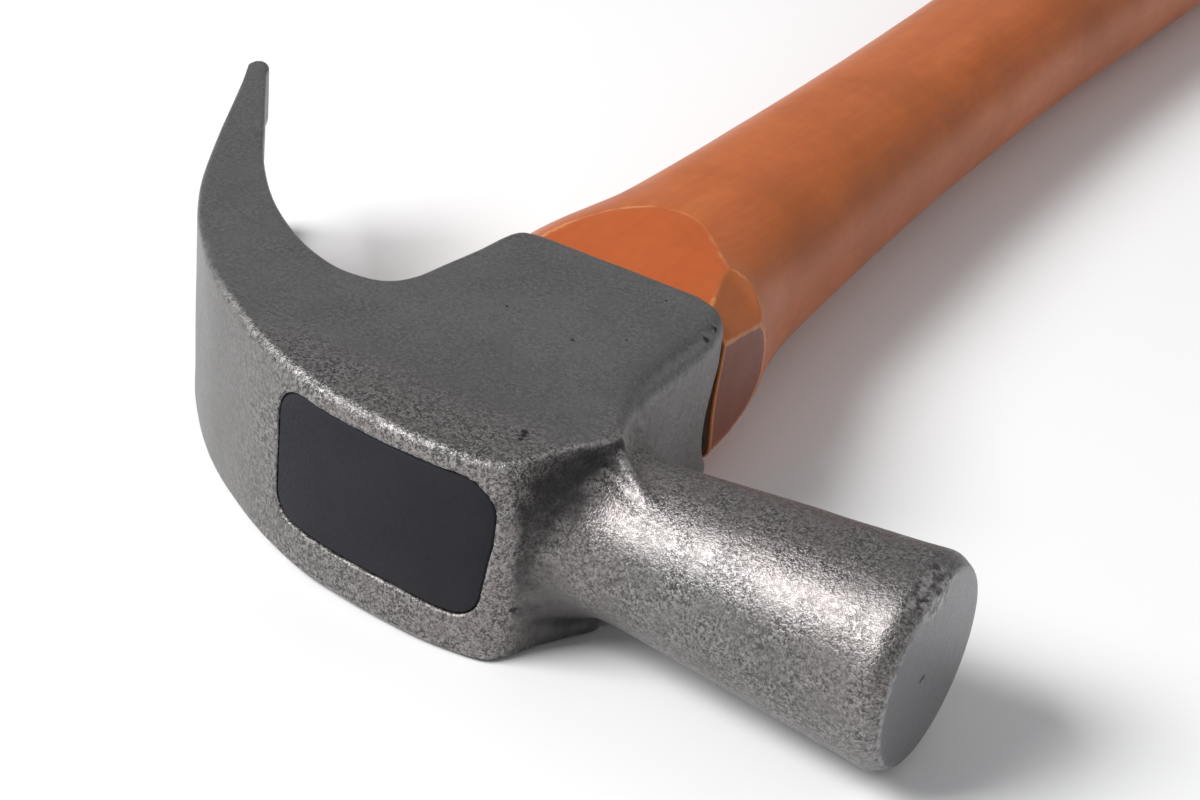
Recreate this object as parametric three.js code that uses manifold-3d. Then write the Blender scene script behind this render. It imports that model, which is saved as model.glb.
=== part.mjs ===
// Claw hammer with a wooden handle.
// Units are millimetres. The design frame has its X axis towards the striking
// face, its Y axis from the head top along the handle to the butt, and its Z
// axis up through the cheeks of the head, which lies on its side. At the end
// the whole model is moved so that the origin is the centre of the underside
// of its bounding box.

import * as THREE from 'three';
import { mergeVertices } from 'three/addons/utils/BufferGeometryUtils.js';
import Module from 'manifold-3d';

// ---------------------------------------------------------------- dimensions

const TOTAL_LENGTH = 330;        // head top to butt end
const HEAD_HALF = 14.2;          // half thickness between the two cheeks
const HEAD_EDGE = 1.2;           // edge chamfer of the forging

const NECK_Y = 15.0;             // axis of the neck and striking face
const FACE_X = 67.0;             // plane of the striking face
const FACE_R = 12.3;             // radius of its flat
const FACE_RIM_R = 13.5;         // outer radius behind the chamfer
const FACE_CHAMFER = 2.1;        // length of the chamfer
const NECK_R = 10.4;             // smallest neck radius, next to the eye block
const NECK_X = 31.0;             // where that radius is

const SKIRT_Y = 49.2;            // lower edge of the eye skirt
const ARCH_RISE = 7.2;           // height of the arches in the skirt ends
const ARCH_HALF = 8.2;           // their half width
const BULGE_X = -19.2;           // claw side of the eye wall at mid thickness

// The eye leans a little: its middle is 1.9 above the mid-plane at the top.
// r is the radius of its upper corners, low that of its lower corners.
const EYE_TOP = { x: 0.9, z: 2.1, hx: 16.9, hz: 9.75, r: 5.2, low: 3.4, y: -10 };
const EYE_BOTTOM = { x: 0.9, z: -0.2, hx: 15.2, hz: 9.2, r: 4.4, low: 4.2, y: 56 };

const SLOT_APEX = [-44.5, 30.5]; // inner end of the nail slot in the claw
const SLOT_TIP = [-69.2, 65.6];  // middle of the claw tip
const SLOT_HALF = 5.0;           // half width of the slot at the tip
const SLOT_ROOT_HALF = 0.4;      // half width at its inner end

const GAP = 0.3;                 // clearance between touching pieces
const SEAL_RECESS = 0.35;        // depth of the seal below the head top
const SEAL_BOTTOM_Y = 5.2;       // inner face of the seal
const TENON_TOP_Y = SEAL_BOTTOM_Y + GAP;

const KERF_DEPTH_Y = 37;         // bottom of the saw kerf in the tenon
const WEDGE_TOP = 4.4;           // wooden wedge thickness at its head
const WEDGE_TIP = 1.2;           // and at its tip
const WEDGE_TIP_Y = 33;
const WEDGE_HALF_X = 13.6;
const WEDGE_Z = 1.1;             // middle of the wedges above the mid-plane
const STEEL_TOP = 3.0;           // steel wedge thickness at its head
const STEEL_TIP = 0.8;           // and at its tip
const STEEL_TIP_Y = 21;
const STEEL_HALF_Z = 6.6;
const STEEL_X = [9.4, -7.8];     // positions of the two steel wedges

const BUTT_Y = TOTAL_LENGTH - 2.3;  // the head top is at y = -2.3
const SHOULDER_Y = SKIRT_Y + GAP;

// Outline of the forging in side view, without the neck: [x, y].
const OUTER = [
  [-70.95, 64.7], [-66.8, 57.4], [-59.7, 44.2], [-53.5, 33.3], [-48.6, 26.2],
  [-44.0, 20.8], [-37.2, 14.3], [-30.9, 9.6], [-21.1, 3.9], [-11.9, 0.2],
  [-4.9, -1.4], [4.6, -2.3], [10.1, -2.1], [14.6, -1.5],
];
const POLL_SIDE = [
  [14.6, -1.5], [17.6, -0.4], [19.5, 2.3], [21.4, 6.6], [24.2, 11.4],
  [25.0, 13.8], [24.2, 16.8], [22.6, 22.5], [22.0, 29], [22.0, 38], [21.9, 42],
];
const SKIRT_FRONT = [[21.9, 42], [21.0, 45.6], [18.9, 48.1], [15.4, SKIRT_Y]];
const SKIRT_REAR = [[-8.6, SKIRT_Y], [-11.4, 48.6], [-12.7, 46.6], [-13.4, 41]];
const HOOK = [
  [-13.4, 41], [-14.6, 34.5], [-15.6, 29.3], [-17.6, 26.1], [-21.2, 24.7],
  [-25.8, 24.9], [-32.4, 27.5], [-41.0, 33.2], [-49.4, 41.4], [-58.0, 52.5],
  [-67.0, 64.3],
];
const TIP = [[-67.0, 64.3], [-67.9, 66.0], [-69.5, 66.9], [-70.8, 66.1], [-70.95, 64.7]];

// Handle stations: [y, x towards the claw, x towards the face, half
// thickness, squareness of the oval].
const HANDLE = [
  [SHOULDER_Y, -17.6, 21.4, 13.9, 2.9],
  [56, -17.6, 20.8, 13.9, 2.8],
  [62, -17.1, 19.7, 13.7, 2.7],
  [68, -16.3, 18.0, 13.3, 2.6],
  [75, -15.4, 16.6, 12.9, 2.5],
  [82, -15.0, 15.8, 12.6, 2.5],
  [100, -14.6, 15.0, 12.2, 2.4],
  [130, -13.9, 13.9, 11.8, 2.3],
  [160, -13.7, 13.7, 11.7, 2.3],
  [190, -14.0, 14.0, 11.9, 2.3],
  [220, -15.4, 15.2, 12.7, 2.3],
  [250, -17.0, 16.6, 13.6, 2.3],
  [275, -17.8, 17.2, 14.1, 2.3],
  [295, -17.8, 17.1, 14.0, 2.3],
  [312, -17.2, 16.5, 13.6, 2.3],
  [BUTT_Y - 5, -16.4, 15.8, 13.0, 2.3],
];
const BUTT_ROUND = 5;

// Flats cut on the shoulder under the head: direction in the XZ plane,
// distance from (2, 0) at the shoulder and its growth per millimetre of y.
const FLATS = [
  { n: [0, 1], d: 12.3, k: 0.048 },
  { n: [0, -1], d: 12.3, k: 0.048 },
  { n: [1, 0], d: 18.3, k: -0.05 },
  { n: [-1, 0], d: 18.9, k: 0.0 },
  { n: [0.72, 0.694], d: 18.7, k: -0.04 },
  { n: [0.72, -0.694], d: 18.7, k: -0.04 },
  { n: [-0.66, 0.751], d: 18.9, k: 0.0 },
  { n: [-0.66, -0.751], d: 18.9, k: 0.0 },
];

// ------------------------------------------------------------------ materials

const steel = new THREE.MeshStandardMaterial({ color: 0x6b6966, metalness: 0.85, roughness: 0.5 });
const wood = new THREE.MeshStandardMaterial({ color: 0xb5653a, metalness: 0, roughness: 0.35 });
const seal = new THREE.MeshStandardMaterial({ color: 0x34353a, metalness: 0, roughness: 0.7 });
const wedgeWood = new THREE.MeshStandardMaterial({ color: 0xc79b66, metalness: 0, roughness: 0.7 });
const wedgeSteel = new THREE.MeshStandardMaterial({ color: 0x8a8a8c, metalness: 0.9, roughness: 0.45 });

// -------------------------------------------------------------------- helpers

const wasm = await Module();
wasm.setup();

function solid(geometry) {
  const g = geometry.clone();
  g.deleteAttribute('normal');
  g.deleteAttribute('uv');
  const merged = mergeVertices(g, 1e-4);
  return new wasm.Manifold(new wasm.Mesh({
    numProp: 3,
    vertProperties: new Float32Array(merged.attributes.position.array),
    triVerts: new Uint32Array(merged.index.array),
  }));
}

function geometryOf(manifold) {
  const m = manifold.getMesh();
  const g = new THREE.BufferGeometry();
  g.setAttribute('position', new THREE.BufferAttribute(new Float32Array(m.vertProperties), 3));
  g.setIndex(new THREE.BufferAttribute(new Uint32Array(m.triVerts), 1));
  g.computeVertexNormals();
  return g;
}

// Closed loft through rings of equal length, each a convex loop of points,
// with a fan over each end.
function loft(rings) {
  const n = rings[0].length;
  const positions = [];
  const index = [];
  for (const ring of rings) for (const p of ring) positions.push(...p);
  for (let i = 0; i + 1 < rings.length; i++) {
    for (let j = 0; j < n; j++) {
      const a = i * n + j;
      const b = i * n + (j + 1) % n;
      index.push(a, b, b + n, a, b + n, a + n);
    }
  }
  for (const [start, flip] of [[0, false], [(rings.length - 1) * n, true]]) {
    const centre = [0, 0, 0];
    for (let j = 0; j < n; j++) for (let k = 0; k < 3; k++) centre[k] += positions[3 * (start + j) + k] / n;
    const c = positions.length / 3;
    positions.push(...centre);
    for (let j = 0; j < n; j++) {
      const a = start + j;
      const b = start + (j + 1) % n;
      if (flip) index.push(a, b, c); else index.push(b, a, c);
    }
  }
  let volume = 0;
  const at = (i) => new THREE.Vector3(positions[3 * i], positions[3 * i + 1], positions[3 * i + 2]);
  for (let i = 0; i < index.length; i += 3) {
    volume += at(index[i]).dot(at(index[i + 1]).cross(at(index[i + 2])));
  }
  if (volume < 0) for (let i = 0; i < index.length; i += 3) [index[i], index[i + 1]] = [index[i + 1], index[i]];
  const g = new THREE.BufferGeometry();
  g.setAttribute('position', new THREE.Float32BufferAttribute(positions, 3));
  g.setIndex(index);
  g.computeVertexNormals();
  return g;
}

const smooth = (points, steps) => new THREE.SplineCurve(points.map(([x, y]) => new THREE.Vector2(x, y))).getPoints(steps);

// Rounded rectangle in the XZ plane at height y.
function roundedRing(x, z, hx, hz, upper, lower, y, perCorner = 6) {
  const ring = [];
  for (const [sx, sz, start] of [[1, 1, 0], [-1, 1, 1], [-1, -1, 2], [1, -1, 3]]) {
    const r = sz > 0 ? upper : lower;
    for (let i = 0; i <= perCorner; i++) {
      const a = (start + i / perCorner) * Math.PI / 2;
      ring.push([x + sx * (hx - r) + r * Math.cos(a), y, z + sz * (hz - r) + r * Math.sin(a)]);
    }
  }
  return ring;
}

const eyeAt = (y, inset) => {
  const t = (y - EYE_TOP.y) / (EYE_BOTTOM.y - EYE_TOP.y);
  const mix = (k) => EYE_TOP[k] + (EYE_BOTTOM[k] - EYE_TOP[k]) * t;
  return roundedRing(mix('x'), mix('z'), mix('hx') - inset, mix('hz') - inset, mix('r') - inset, mix('low') - inset, y);
};

// Wedge that tapers along Y, with its thickness along one axis.
function taper(y0, y1, half0, half1, widthHalf, centreX, alongX) {
  const ring = (y, h) => {
    const [hx, hz] = alongX ? [h, widthHalf] : [widthHalf, h];
    const [top, low] = [WEDGE_Z + hz, WEDGE_Z - hz];
    return [[centreX + hx, y, top], [centreX - hx, y, top], [centreX - hx, y, low], [centreX + hx, y, low]];
  };
  return loft([ring(y0, half0), ring(y1, half1)]);
}

// ----------------------------------------------------------------------- head

const outline = [
  ...smooth(OUTER, 44).slice(0, -1),
  ...smooth(POLL_SIDE, 26).slice(0, -1),
  ...smooth(SKIRT_FRONT, 8),
  ...smooth(SKIRT_REAR, 7).slice(0, -1),
  ...smooth(HOOK, 34).slice(0, -1),
  ...smooth(TIP, 8).slice(0, -1),
];

const forging = new THREE.ExtrudeGeometry(new THREE.Shape(outline), {
  depth: 2 * (HEAD_HALF - HEAD_EDGE),
  steps: 1,
  bevelEnabled: true,
  bevelThickness: HEAD_EDGE,
  bevelSize: HEAD_EDGE,
  bevelOffset: -HEAD_EDGE,
  bevelSegments: 2,
});
forging.translate(0, 0, -(HEAD_HALF - HEAD_EDGE));

// Claw side of the eye wall, fuller at mid thickness than at the cheeks.
const bulgeRing = (y, inset) => [
  [8, y, 12.6 - inset], [-10.4, y, 12.6 - inset], [-13.6, y, 11.6 - inset], [-16.4, y, 9.2 - inset],
  [-18.4 + inset, y, 5.6 - inset], [BULGE_X + inset, y, 0], [-18.4 + inset, y, -5.6 + inset],
  [-16.4, y, -9.2 + inset], [-13.6, y, -11.6 + inset], [-10.4, y, -12.6 + inset], [8, y, -12.6 + inset],
];
const bulge = loft([bulgeRing(17, 0), bulgeRing(SKIRT_Y - 1, 0), bulgeRing(SKIRT_Y, 0.8)]);

// Neck and striking face, turned about the X axis.
const neckProfile = [
  [0, 6], [13.2, 6], [13.2, 20.5], [12.0, 23.5], [11.0, 26.5], [NECK_R, NECK_X],
  [FACE_RIM_R, FACE_X - FACE_CHAMFER], [FACE_R, FACE_X], [0, FACE_X],
].map(([r, x]) => new THREE.Vector2(r, x));
const neck = new THREE.LatheGeometry(neckProfile, 56);
neck.rotateZ(-Math.PI / 2);
neck.translate(0, NECK_Y, 0);

const eyeHole = loft([eyeAt(EYE_TOP.y, 0), eyeAt(EYE_BOTTOM.y, 0)]);

const arch = new THREE.CylinderGeometry(1, 1, 80, 36);
arch.rotateZ(Math.PI / 2);
arch.scale(1, ARCH_RISE, ARCH_HALF);
arch.translate(0, SKIRT_Y + 0.6, 0);

// Nail slot: a V that widens from its inner end to the claw tips.
const along = new THREE.Vector2(SLOT_TIP[0] - SLOT_APEX[0], SLOT_TIP[1] - SLOT_APEX[1]);
const slotLength = along.length();
along.normalize();
const slotShape = new THREE.Shape();
const slotRun = slotLength + 6;
const slotWide = SLOT_ROOT_HALF + (SLOT_HALF - SLOT_ROOT_HALF) * slotRun / slotLength;
slotShape.moveTo(0, -SLOT_ROOT_HALF);
slotShape.lineTo(slotRun, -slotWide);
slotShape.lineTo(slotRun, slotWide);
slotShape.lineTo(0, SLOT_ROOT_HALF);
slotShape.closePath();
const slot = new THREE.ExtrudeGeometry(slotShape, { depth: 28, bevelEnabled: false });
slot.translate(0, 0, -14);
slot.applyMatrix4(new THREE.Matrix4().makeBasis(
  new THREE.Vector3(along.x, along.y, 0),
  new THREE.Vector3(0, 0, 1),
  new THREE.Vector3(along.y, -along.x, 0),
));
slot.translate(SLOT_APEX[0], SLOT_APEX[1], 0);

const head = solid(forging).add(solid(bulge)).add(solid(neck))
  .subtract(solid(eyeHole)).subtract(solid(arch)).subtract(solid(slot));

// ----------------------------------------------------------------------- seal

// The top of the head, sunk by the recess, closed below by the seal's inner face.
const crown = smooth(OUTER, 44).concat(smooth(POLL_SIDE, 26).slice(1, 6));
const crownShape = new THREE.Shape([
  ...crown.filter((p) => p.x > -24).map((p) => new THREE.Vector2(p.x, p.y + SEAL_RECESS)),
  new THREE.Vector2(24, SEAL_BOTTOM_Y),
  new THREE.Vector2(-24, SEAL_BOTTOM_Y),
]);
const crownBody = new THREE.ExtrudeGeometry(crownShape, { depth: 30, bevelEnabled: false });
crownBody.translate(0, 0, -15);
const sealPlug = loft([eyeAt(-8, GAP), eyeAt(12, GAP)]);
const eyeSeal = solid(sealPlug).intersect(solid(crownBody));

// --------------------------------------------------------------------- wedges

const woodWedgeBlank = taper(TENON_TOP_Y + 0.2, WEDGE_TIP_Y, WEDGE_TOP / 2, WEDGE_TIP / 2, WEDGE_HALF_X, 0.7, false);
const steelWedges = STEEL_X.map((x) => taper(TENON_TOP_Y + 0.1, STEEL_TIP_Y, STEEL_TOP / 2, STEEL_TIP / 2, STEEL_HALF_Z, x, true));
const steelSlots = STEEL_X.map((x) => solid(taper(
  TENON_TOP_Y - 3, STEEL_TIP_Y + 0.6, STEEL_TOP / 2 + 0.5, STEEL_TIP / 2 + 0.3, STEEL_HALF_Z + GAP, x, true)));

let woodWedge = solid(woodWedgeBlank);
for (const s of steelSlots) woodWedge = woodWedge.subtract(s);

// --------------------------------------------------------------------- handle

// Radius of the handle section from (2, 0) in direction (cos a, sin a).
function handleRadius(y, a) {
  let i = 0;
  while (i + 2 < HANDLE.length && y > HANDLE[i + 1][0]) i++;
  const t = Math.min(1, Math.max(0, (y - HANDLE[i][0]) / (HANDLE[i + 1][0] - HANDLE[i][0])));
  const at = (k) => {
    // Catmull-Rom interpolation between the stations
    const p0 = HANDLE[Math.max(0, i - 1)][k];
    const p1 = HANDLE[i][k];
    const p2 = HANDLE[i + 1][k];
    const p3 = HANDLE[Math.min(HANDLE.length - 1, i + 2)][k];
    const d1 = (p2 - p0) / 2;
    const d2 = (p3 - p1) / 2;
    const near = Math.abs(p2 - p1);
    const m1 = Math.sign(d1) * Math.min(Math.abs(d1), 3 * near);
    const m2 = Math.sign(d2) * Math.min(Math.abs(d2), 3 * near);
    const t2 = t * t;
    const t3 = t2 * t;
    return (2 * t3 - 3 * t2 + 1) * p1 + (t3 - 2 * t2 + t) * m1 + (-2 * t3 + 3 * t2) * p2 + (t3 - t2) * m2;
  };
  const rear = at(1);
  const front = at(2);
  const half = at(3);
  const e = at(4);
  const cx = (rear + front) / 2;
  const hx = (front - rear) / 2;
  const dx = Math.cos(a);
  const dz = Math.sin(a);
  // distance along the ray from (cx, 0) to the oval
  return { cx, r: 1 / Math.pow(Math.pow(Math.abs(dx) / hx, e) + Math.pow(Math.abs(dz) / half, e), 1 / e) };
}

function handleRing(y, shrink) {
  const n = 56;
  const ring = [];
  for (let j = 0; j < n; j++) {
    const a = (j / n) * 2 * Math.PI;
    const { cx, r } = handleRadius(y, a);
    let reach = r;
    for (const f of FLATS) {
      const c = f.n[0] * Math.cos(a) + f.n[1] * Math.sin(a);
      const d = f.d + f.k * (y - SHOULDER_Y) - f.n[0] * (cx - 2);
      if (c > 1e-6 && y < 90) reach = Math.min(reach, d / c + Math.max(0, y - 74) * 0.6);
    }
    reach *= shrink;
    ring.push([cx + reach * Math.cos(a), y, reach * Math.sin(a)]);
  }
  return ring;
}

const stations = [];
for (let y = SHOULDER_Y; y < 90; y += 2.25) stations.push(y);
for (let y = 92; y < BUTT_Y - BUTT_ROUND - 2; y += 9) stations.push(y);
const rings = stations.map((y) => handleRing(y, 1));
for (let i = 0; i <= 6; i++) {
  const a = (i / 6) * Math.PI / 2 * 0.92;
  rings.push(handleRing(BUTT_Y - BUTT_ROUND + BUTT_ROUND * Math.sin(a) / Math.sin(Math.PI / 2 * 0.92), 1 - 0.24 * (1 - Math.cos(a))));
}
const shaft = loft(rings);
const tenon = loft([eyeAt(TENON_TOP_Y, GAP), eyeAt(SHOULDER_Y + 3, GAP)]);
const kerf = taper(TENON_TOP_Y - 4, KERF_DEPTH_Y, WEDGE_TOP / 2 + 0.75, WEDGE_TIP / 2 + 0.2, 30, 0, false);
let handle = solid(shaft).add(solid(tenon)).subtract(solid(kerf));
for (const s of steelSlots) handle = handle.subtract(s);

// ------------------------------------------------------------------- assembly

function piece(name, geometry, material) {
  const mesh = new THREE.Mesh(geometry, material);
  mesh.name = name;
  return mesh;
}

const hammer = new THREE.Group();
hammer.add(
  piece('hammer_head', geometryOf(head), steel),
  piece('handle', geometryOf(handle), wood),
  piece('eye_seal', geometryOf(eyeSeal), seal),
  piece('wood_wedge', geometryOf(woodWedge), wedgeWood),
  piece('steel_wedge_front', steelWedges[0], wedgeSteel),
  piece('steel_wedge_rear', steelWedges[1], wedgeSteel),
);

const box = new THREE.Box3().setFromObject(hammer);
hammer.position.set(-(box.min.x + box.max.x) / 2, -(box.min.y + box.max.y) / 2, -box.min.z);

const group = new THREE.Group();
group.add(hammer);

export default group;
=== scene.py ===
# Looks of the claw hammer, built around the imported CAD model.
# The shape code works in the part's design frame, in millimetres: X towards
# the striking face, Y from the head top along the handle, Z up through the
# cheeks, with z = 0 in the middle of the head. Meshes are moved to the row
# frame, in metres, when they are made.

import math

import bpy
import numpy as np
from mathutils import Matrix, Vector


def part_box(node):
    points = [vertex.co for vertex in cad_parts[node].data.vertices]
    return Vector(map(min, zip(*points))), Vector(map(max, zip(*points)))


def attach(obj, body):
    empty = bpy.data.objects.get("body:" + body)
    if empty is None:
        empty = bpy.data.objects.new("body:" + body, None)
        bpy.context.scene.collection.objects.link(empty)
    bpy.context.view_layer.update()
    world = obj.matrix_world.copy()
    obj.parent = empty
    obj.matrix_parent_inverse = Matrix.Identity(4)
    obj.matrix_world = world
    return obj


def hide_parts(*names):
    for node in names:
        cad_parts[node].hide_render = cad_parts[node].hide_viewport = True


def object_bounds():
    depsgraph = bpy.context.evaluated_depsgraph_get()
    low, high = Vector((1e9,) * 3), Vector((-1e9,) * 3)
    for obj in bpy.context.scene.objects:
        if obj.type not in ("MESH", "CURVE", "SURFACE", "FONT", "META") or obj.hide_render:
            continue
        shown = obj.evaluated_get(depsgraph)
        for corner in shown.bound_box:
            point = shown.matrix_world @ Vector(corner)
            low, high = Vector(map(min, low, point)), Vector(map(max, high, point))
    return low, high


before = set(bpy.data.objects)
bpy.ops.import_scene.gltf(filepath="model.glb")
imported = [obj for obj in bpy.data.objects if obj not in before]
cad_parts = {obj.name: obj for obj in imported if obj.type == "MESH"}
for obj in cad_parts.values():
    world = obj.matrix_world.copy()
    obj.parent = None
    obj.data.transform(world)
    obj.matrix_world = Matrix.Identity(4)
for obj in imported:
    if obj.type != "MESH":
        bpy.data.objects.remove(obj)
cad_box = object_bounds()

head_lo, head_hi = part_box("hammer_head")
handle_lo, handle_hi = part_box("handle")

FACE_X = 67.0
BUTT_Y = 327.7
HALF = 14.2  # half thickness of the head between its cheeks
ORIGIN = np.array(
    [
        head_hi.x * 1000 - FACE_X,
        handle_hi.y * 1000 - BUTT_Y,
        (head_hi.z + head_lo.z) * 500,
    ]
)


def to_row(points):
    return (np.asarray(points, float) + ORIGIN) / 1000


# ------------------------------------------------------------------- camera
def add_camera():
    az, el, roll = (math.radians(a) for a in (28.41, 31.64, 6.57))
    back = np.array(
        [math.sin(az) * math.cos(el), -math.cos(az) * math.cos(el), math.sin(el)]
    )
    right = np.array([math.cos(az), math.sin(az), 0.0])
    up = np.cross(back, right)
    r2 = math.cos(roll) * right + math.sin(roll) * up
    u2 = -math.sin(roll) * right + math.cos(roll) * up
    place = to_row([139.35, -203.93, 170.26])
    data = bpy.data.cameras.new("camera")
    data.sensor_width = 36.0
    data.lens = 2502 / 1200 * 36.0
    data.clip_start = 0.01
    data.clip_end = 50
    camera = bpy.data.objects.new("camera", data)
    bpy.context.scene.collection.objects.link(camera)
    m = Matrix.Identity(4)
    for i in range(3):
        m[i][0], m[i][1], m[i][2], m[i][3] = r2[i], u2[i], back[i], place[i]
    camera.matrix_world = m
    bpy.context.scene.camera = camera


add_camera()


# -------------------------------------------------------------------- noise
class Noise:
    """Smooth value noise in three dimensions, from -1 to 1."""

    def __init__(self, seed):
        self.table = np.random.RandomState(seed).uniform(-1, 1, (32, 32, 32))

    def __call__(self, x, y, z):
        out = 0
        ix, iy, iz = (np.floor(v).astype(int) for v in (x, y, z))
        fx, fy, fz = x - ix, y - iy, z - iz
        fx, fy, fz = (f * f * f * (f * (f * 6 - 15) + 10) for f in (fx, fy, fz))
        for dx in (0, 1):
            wx = fx if dx else 1 - fx
            for dy in (0, 1):
                wy = fy if dy else 1 - fy
                for dz in (0, 1):
                    wz = fz if dz else 1 - fz
                    out = out + wx * wy * wz * self.table[
                        (ix + dx) & 31, (iy + dy) & 31, (iz + dz) & 31
                    ]
        return out


noise_a = Noise(11)
noise_b = Noise(23)


# ------------------------------------------------------- outline of the head
# [x, y, edge radius]: the side view of the forging without its neck.
OUTER = [
    (-70.95, 64.7, 0.7), (-66.8, 57.4, 0.8), (-59.7, 44.2, 0.8), (-53.5, 33.3, 0.9),
    (-48.6, 26.2, 0.9), (-44.0, 20.8, 1.0), (-37.2, 14.3, 1.1), (-30.9, 9.6, 1.2),
    (-21.1, 3.9, 1.4), (-11.9, 0.2, 1.6), (-4.9, -1.4, 1.6), (4.6, -2.2, 1.5),
    (10.1, -2.1, 1.3), (14.6, -1.5, 1.1),
]
POLL_SIDE = [
    (14.6, -1.5, 1.1), (17.8, -0.4, 0.9), (19.7, 2.4, 0.8), (21.5, 6.6, 0.8),
    (24.2, 11.4, 0.8), (25.1, 13.8, 0.9), (24.2, 16.8, 1.8), (22.6, 22.5, 2.8),
    (22.0, 29, 3.2), (22.0, 38, 3.2), (21.9, 42, 3.0),
]
SKIRT = [(21.9, 42, 3.0), (21.0, 45.6, 2.4), (18.9, 48.1, 1.5), (15.4, 49.2, 0.8)]
SKIRT_END = [(15.4, 49.2, 0.8), (3.4, 49.2, 0.6), (-8.6, 49.2, 0.7)]
SKIRT_REAR = [(-8.6, 49.2, 0.7), (-11.4, 48.6, 0.8), (-12.7, 46.6, 0.9), (-13.4, 41, 1.0)]
HOOK = [
    (-13.4, 41, 1.0), (-14.6, 34.5, 1.1), (-15.6, 29.3, 1.2), (-17.6, 26.1, 1.2),
    (-21.2, 24.7, 1.1), (-25.8, 24.9, 1.0), (-32.4, 27.5, 1.0), (-41.0, 33.2, 0.9),
    (-49.4, 41.4, 0.8), (-58.0, 52.5, 0.7), (-67.0, 64.3, 0.7),
]
TIP = [
    (-67.0, 64.3, 0.7), (-67.9, 66.0, 0.7), (-69.5, 66.9, 0.7), (-70.8, 66.1, 0.7),
    (-70.95, 64.7, 0.7),
]


def spline(points, per=8, straight=False):
    """Catmull-Rom curve through points, without its last point."""
    p = np.array(points, float)
    out = []
    for i in range(len(p) - 1):
        p0, p1, p2, p3 = p[max(i - 1, 0)], p[i], p[i + 1], p[min(i + 2, len(p) - 1)]
        for k in range(per):
            t = k / per
            if straight:
                out.append(p1 + (p2 - p1) * t)
                continue
            m1, m2 = (p2 - p0) / 2, (p3 - p1) / 2
            t2, t3 = t * t, t * t * t
            out.append(
                (2 * t3 - 3 * t2 + 1) * p1
                + (t3 - 2 * t2 + t) * m1
                + (-2 * t3 + 3 * t2) * p2
                + (t3 - t2) * m2
            )
    return out


outline = np.array(
    spline(OUTER)
    + spline(POLL_SIDE)
    + spline(SKIRT)
    + spline(SKIRT_END, 3, True)
    + spline(SKIRT_REAR)
    + spline(HOOK)
    + spline(TIP, 6)
)
hook_line = np.array(spline(HOOK, 6))


def segment_distance(px, py, a, b):
    """Distances of points to each segment a-b, and the place along it."""
    d = b - a
    length2 = (d**2).sum(1)
    t = ((px[:, None] - a[None, :, 0]) * d[None, :, 0] + (py[:, None] - a[None, :, 1]) * d[None, :, 1]) / length2[None]
    t = np.clip(t, 0, 1)
    dx = px[:, None] - (a[None, :, 0] + t * d[None, :, 0])
    dy = py[:, None] - (a[None, :, 1] + t * d[None, :, 1])
    return dx * dx + dy * dy, t


class Plane2D:
    """Signed distance to the outline, edge radius of the nearest edge and
    distance to the hook side of the claw, sampled on a fine grid."""

    def __init__(self, lo, hi, step):
        self.lo, self.step = np.array(lo, float), step
        self.n = np.ceil((np.array(hi) - np.array(lo)) / step).astype(int) + 1
        gx = self.lo[0] + np.arange(self.n[0]) * step
        gy = self.lo[1] + np.arange(self.n[1]) * step
        X, Y = np.meshgrid(gx, gy, indexing="ij")
        px, py = X.ravel(), Y.ravel()
        a = outline[:, :2]
        b = np.roll(a, -1, 0)
        ra, rb = outline[:, 2], np.roll(outline[:, 2], -1)
        d = np.empty(len(px))
        r = np.empty(len(px))
        h = np.empty(len(px))
        inside = np.zeros(len(px), bool)
        for s in range(0, len(px), 20000):
            e = slice(s, s + 20000)
            d2, t = segment_distance(px[e], py[e], a, b)
            j = d2.argmin(1)
            i = np.arange(len(j))
            d[e] = np.sqrt(d2[i, j])
            r[e] = ra[j] + (rb[j] - ra[j]) * t[i, j]
            up = (a[None, :, 1] > py[e, None]) != (b[None, :, 1] > py[e, None])
            with np.errstate(divide="ignore", invalid="ignore"):
                xc = (b[:, 0] - a[:, 0]) * (py[e, None] - a[:, 1]) / (b[:, 1] - a[:, 1]) + a[:, 0]
            inside[e] = (up & (px[e, None] < xc)).sum(1) % 2 == 1
            d2h, _ = segment_distance(px[e], py[e], hook_line[:-1, :2], hook_line[1:, :2])
            h[e] = np.sqrt(d2h.min(1))
        d = np.where(inside, -d, d)
        self.v = np.stack([d, r, h], -1).reshape(self.n[0], self.n[1], 3)
        for _ in range(6):  # soften the jumps of the edge radius
            q = self.v[:, :, 1]
            q[1:-1, 1:-1] = (q[:-2, 1:-1] + q[2:, 1:-1] + q[1:-1, :-2] + q[1:-1, 2:] + 2 * q[1:-1, 1:-1]) / 6

    def __call__(self, x, y):
        u = np.clip((x - self.lo[0]) / self.step, 0, self.n[0] - 1.001)
        v = np.clip((y - self.lo[1]) / self.step, 0, self.n[1] - 1.001)
        i, j = u.astype(int), v.astype(int)
        fu, fv = (u - i)[..., None], (v - j)[..., None]
        g = self.v
        q = (g[i, j] * (1 - fu) + g[i + 1, j] * fu) * (1 - fv) + (
            g[i, j + 1] * (1 - fu) + g[i + 1, j + 1] * fu
        ) * fv
        return q[..., 0], q[..., 1], q[..., 2]


plane = Plane2D((-75, -7), (73, 73), 0.25)


def smin(a, b, k):
    h = np.maximum(k - np.abs(a - b), 0) / k
    return np.minimum(a, b) - h * h * k / 4


def smax(a, b, k):
    return -smin(-a, -b, k)


# ------------------------------------------------------------ head as a field
NECK_Y = 15.0
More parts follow.
